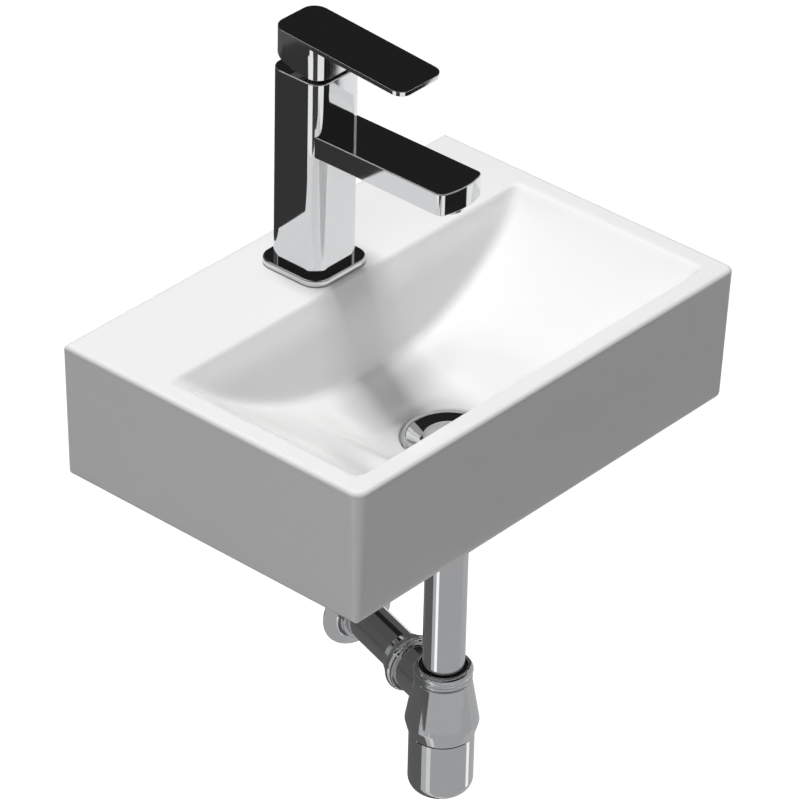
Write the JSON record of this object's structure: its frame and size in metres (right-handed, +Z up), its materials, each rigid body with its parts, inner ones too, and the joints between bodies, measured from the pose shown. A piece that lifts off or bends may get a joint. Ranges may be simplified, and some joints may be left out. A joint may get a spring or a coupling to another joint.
{
  "type": "wall hung basin",
  "caption": "Rectangular wall hung cloakroom basin with a deck mounted single lever tap, a push plug waste and a chromed bottle trap.",
  "frame": {"origin": "on the wall plane, midway between the two hanger bolts, 55 mm below the basin's rim", "axes": "+X along the wall to the right of someone who faces the basin, +Y into the wall, +Z up"},
  "size_m": [0.4098, 0.3299, 0.6012],
  "materials": {
    "glaze": "glossy white glaze",
    "chrome": "polished chrome plate on brass",
    "brass": "machined",
    "steel": "zinc plated or plain",
    "rubber": "matt black",
    "plastic": "moulded",
    "disc_ceramic": "lapped"
  },
  "bodies": {
    "fixed": {"basin": "glaze", "hanger_bolts": "steel", "bolt_bushes": "plastic", "bolt_washers": "steel", "bolt_nuts": "steel", "base_seal": "rubber", "base_ring": "chrome", "tap_body": "chrome", "aerator_housing": "chrome", "aerator_insert": "plastic", "aerator_seal": "rubber", "cartridge_seal": "rubber", "cartridge_body": "plastic", "fixed_disc": "disc_ceramic", "cartridge_nut": "brass", "tap_stud": "steel", "fixing_gasket": "rubber", "fixing_plate": "steel", "tap_nut": "brass", "flange_seal": "rubber", "waste_flange": "chrome", "click_body": "plastic", "click_spring": "steel", "waste_gasket": "rubber", "waste_backnut": "brass", "tailpipe_washer": "rubber", "tailpipe": "chrome", "tailpipe_nut": "chrome"},
    "rotor": {"cartridge_rotor": "plastic", "pivot_pin": "steel"},
    "disc": {"moving_disc": "disc_ceramic"},
    "lever": {"lever": "chrome", "lever_spindle": "steel", "lever_screw": "steel", "screw_cap": "chrome"},
    "plug": {"plug_stem": "steel", "waste_plug": "chrome", "plug_seal": "rubber"},
    "trap": {"inlet_nut": "chrome", "inlet_seal": "rubber", "trap_body": "chrome", "outlet_nut": "chrome", "outlet_seal": "rubber", "outlet_pipe": "chrome"},
    "rosette": {"wall_rosette": "chrome"},
    "cup_ring": {"cup_seal": "rubber"},
    "cup": {"trap_cup": "chrome"}
  },
  "joints": [
    {"name": "lever_turn", "type": "hinge", "parent": "fixed", "child": "rotor", "pos_m": [0, -0.052, 0.205], "axis": [0, 0, 1], "range_deg": [-45, 45]},
    {"name": "lever_lift", "type": "hinge", "parent": "rotor", "child": "lever", "pos_m": [0, -0.052, 0.205], "axis": [-1, 0, 0], "range_deg": [0, 20]},
    {"name": "disc_slide", "type": "slide", "parent": "rotor", "child": "disc", "axis": [0, -1, 0], "range_m": [0, 0.0054]},
    {"name": "plug_push", "type": "slide", "parent": "fixed", "child": "plug", "axis": [0, 0, 1], "range_m": [-0.005, 0], "deforming": ["click_spring"]},
    {"name": "trap_swivel", "type": "hinge", "parent": "fixed", "child": "trap", "pos_m": [0, -0.186, -0.264], "axis": [0, 0, 1], "range_deg": [-18, 52]},
    {"name": "rosette_slide", "type": "slide", "parent": "trap", "child": "rosette", "axis": [0.2924, 0.9563, 0], "range_m": [-0.03, 0.06]},
    {"name": "cup_drop", "type": "slide", "parent": "trap", "child": "cup_ring", "axis": [0, 0, -1], "range_m": [0, 0.0092]},
    {"name": "cup_turn", "type": "hinge", "parent": "cup_ring", "child": "cup", "pos_m": [0, -0.186, -0.325], "axis": [0, 0, -1], "range_deg": [0, 1436]}
  ],
  "couplings": [
    {"joint": "disc_slide", "follows": "lever_lift", "m_per_rad": 0.0145},
    {"joint": "cup_turn", "follows": "cup_drop", "rad_per_m": 2721.2}
  ]
}
